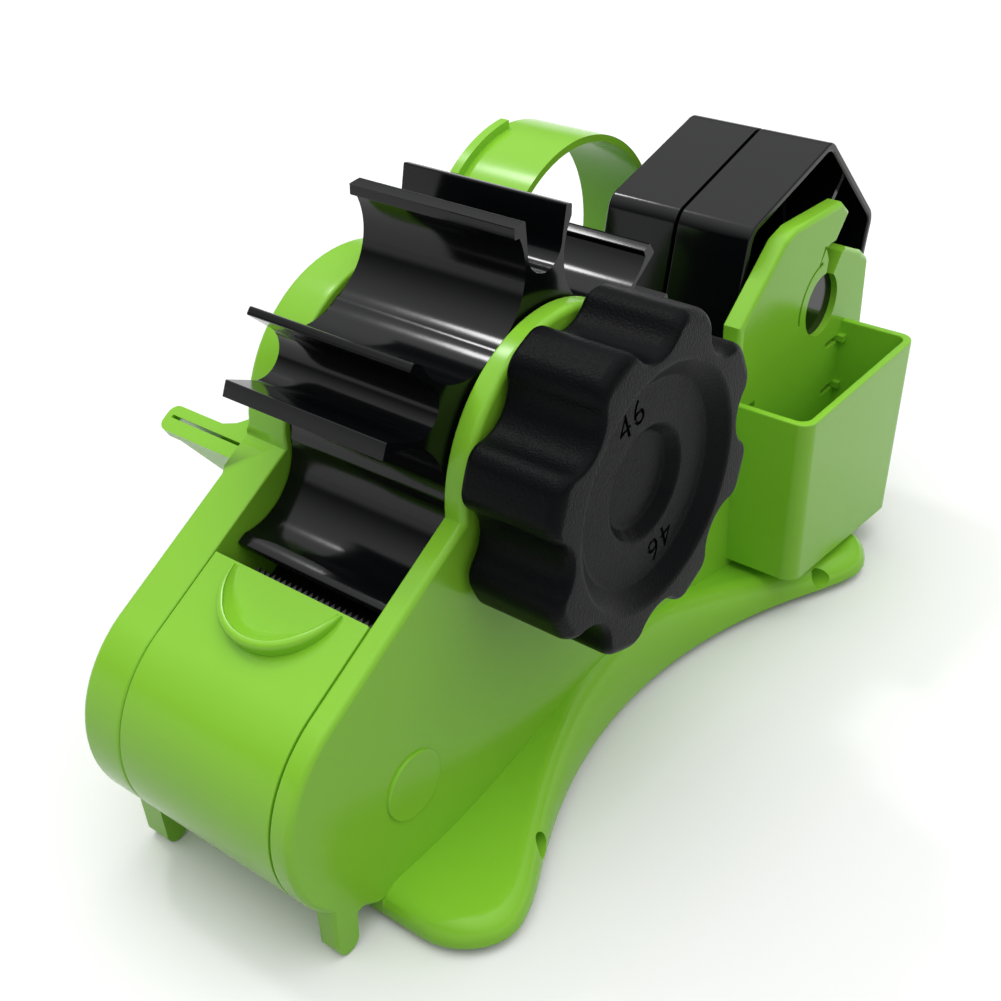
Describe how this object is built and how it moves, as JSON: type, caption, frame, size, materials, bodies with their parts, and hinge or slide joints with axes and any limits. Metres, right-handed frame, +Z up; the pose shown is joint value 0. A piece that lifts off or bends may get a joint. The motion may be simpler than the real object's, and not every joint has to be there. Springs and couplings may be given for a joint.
{
  "type": "semi-automatic tape dispenser",
  "caption": "Desk tape dispenser with a lobed drum turned by a fluted knob, a rear spool for tape, a hinged front cover, a side ring for a second roll and a clip-on bin.",
  "frame": {"origin": "middle of the part's box, on the table under it", "axes": "+X along the drum shaft towards the knob, +Y towards the spool at the back, +Z up"},
  "size_m": [0.1006, 0.2198, 0.1209],
  "materials": {
    "green_plastic": "gloss",
    "black_plastic": "gloss",
    "knob_plastic": "satin",
    "steel": "satin",
    "brass": "satin",
    "rubber": "matte"
  },
  "bodies": {
    "frame": {"base_pan": "green_plastic", "left_side_shell": "green_plastic", "left_inner_plate": "green_plastic", "right_side_shell": "green_plastic", "side_roll_ring": "green_plastic", "accessory_bin": "green_plastic", "left_bush": "brass", "right_bush": "brass", "rubber_feet": "rubber", "base_screws": "steel", "left_shell_screws": "steel", "ring_screws": "steel"},
    "drum": {"drum": "black_plastic", "drum_shaft": "steel", "knob": "knob_plastic", "knob_screw": "steel", "knob_cap": "knob_plastic", "cam_wheel": "black_plastic", "shaft_clip": "steel"},
    "spool": {"spool_half_left": "black_plastic", "spool_half_right": "black_plastic", "spool_axle": "black_plastic"},
    "cover": {"front_cover": "green_plastic"},
    "cutter": {"cutter_shaft": "steel", "cutter_arm": "black_plastic", "cutter_blade": "steel", "blade_clamp": "steel", "clamp_screws": "steel", "follower_lever": "black_plastic", "cutter_spring": "steel"}
  },
  "joints": [
    {"name": "drum_turn", "type": "hinge", "parent": "frame", "child": "drum", "pos_m": [0.003, -0.03126, 0.075], "axis": [1, 0, 0], "continuous": true},
    {"name": "spool_turn", "type": "hinge", "parent": "frame", "child": "spool", "pos_m": [0.003, 0.07374, 0.0642], "axis": [1, 0, 0], "continuous": true},
    {"name": "cover_open", "type": "hinge", "parent": "frame", "child": "cover", "pos_m": [0.003, -0.09392, 0.00983], "axis": [1, 0, 0], "range_deg": [0, 55]},
    {"name": "cutter_swing", "type": "hinge", "parent": "frame", "child": "cutter", "pos_m": [0.003, -0.07539, 0.03127], "axis": [-1, 0, 0], "range_deg": [0, 6]}
  ]
}
